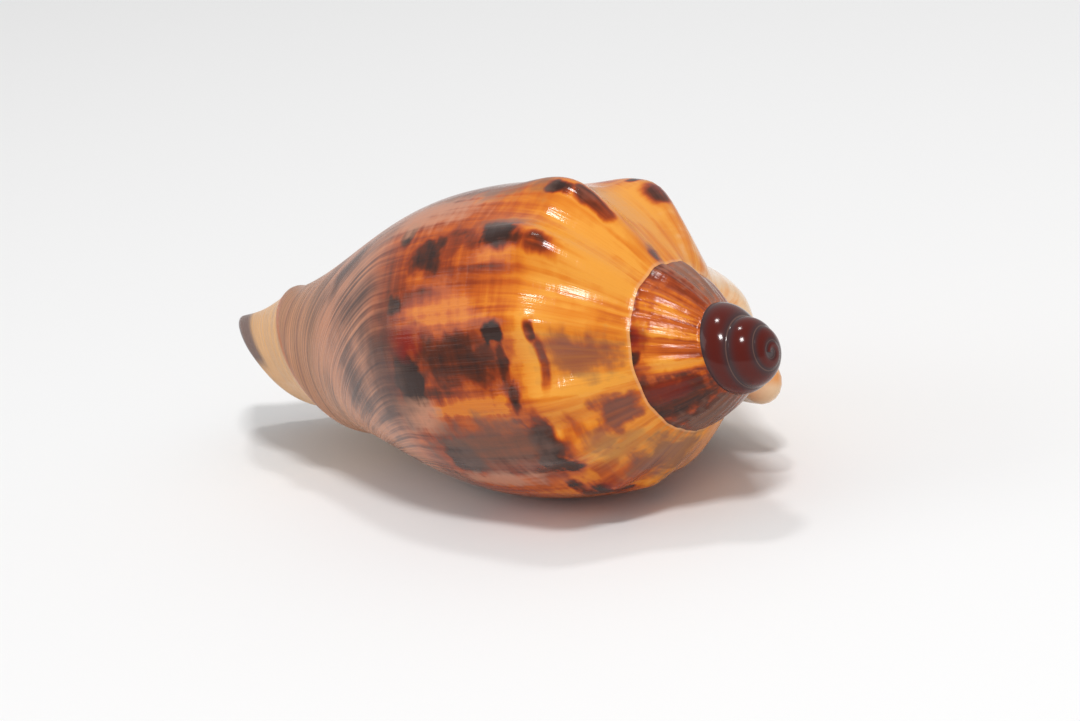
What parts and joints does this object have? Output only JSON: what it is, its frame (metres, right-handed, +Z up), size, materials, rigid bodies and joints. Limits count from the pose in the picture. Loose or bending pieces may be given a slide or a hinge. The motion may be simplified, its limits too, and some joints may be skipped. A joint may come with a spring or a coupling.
{
  "type": "volute shell",
  "caption": "Glossy knobbed volute sea shell lying on its opening, with a smooth dark spire tip and a notched front end.",
  "frame": {"origin": "on the surface it lies on, under the middle of its box", "axes": "+Z up; +X along the shell towards the tip of the spire; the narrow front end points towards -X"},
  "size_m": [0.0874, 0.0446, 0.0379],
  "materials": {
    "shell": "highly polished orange and dark brown shell, cream inside"
  },
  "bodies": {
    "root": {"shell": "shell"}
  },
  "joints": []
}
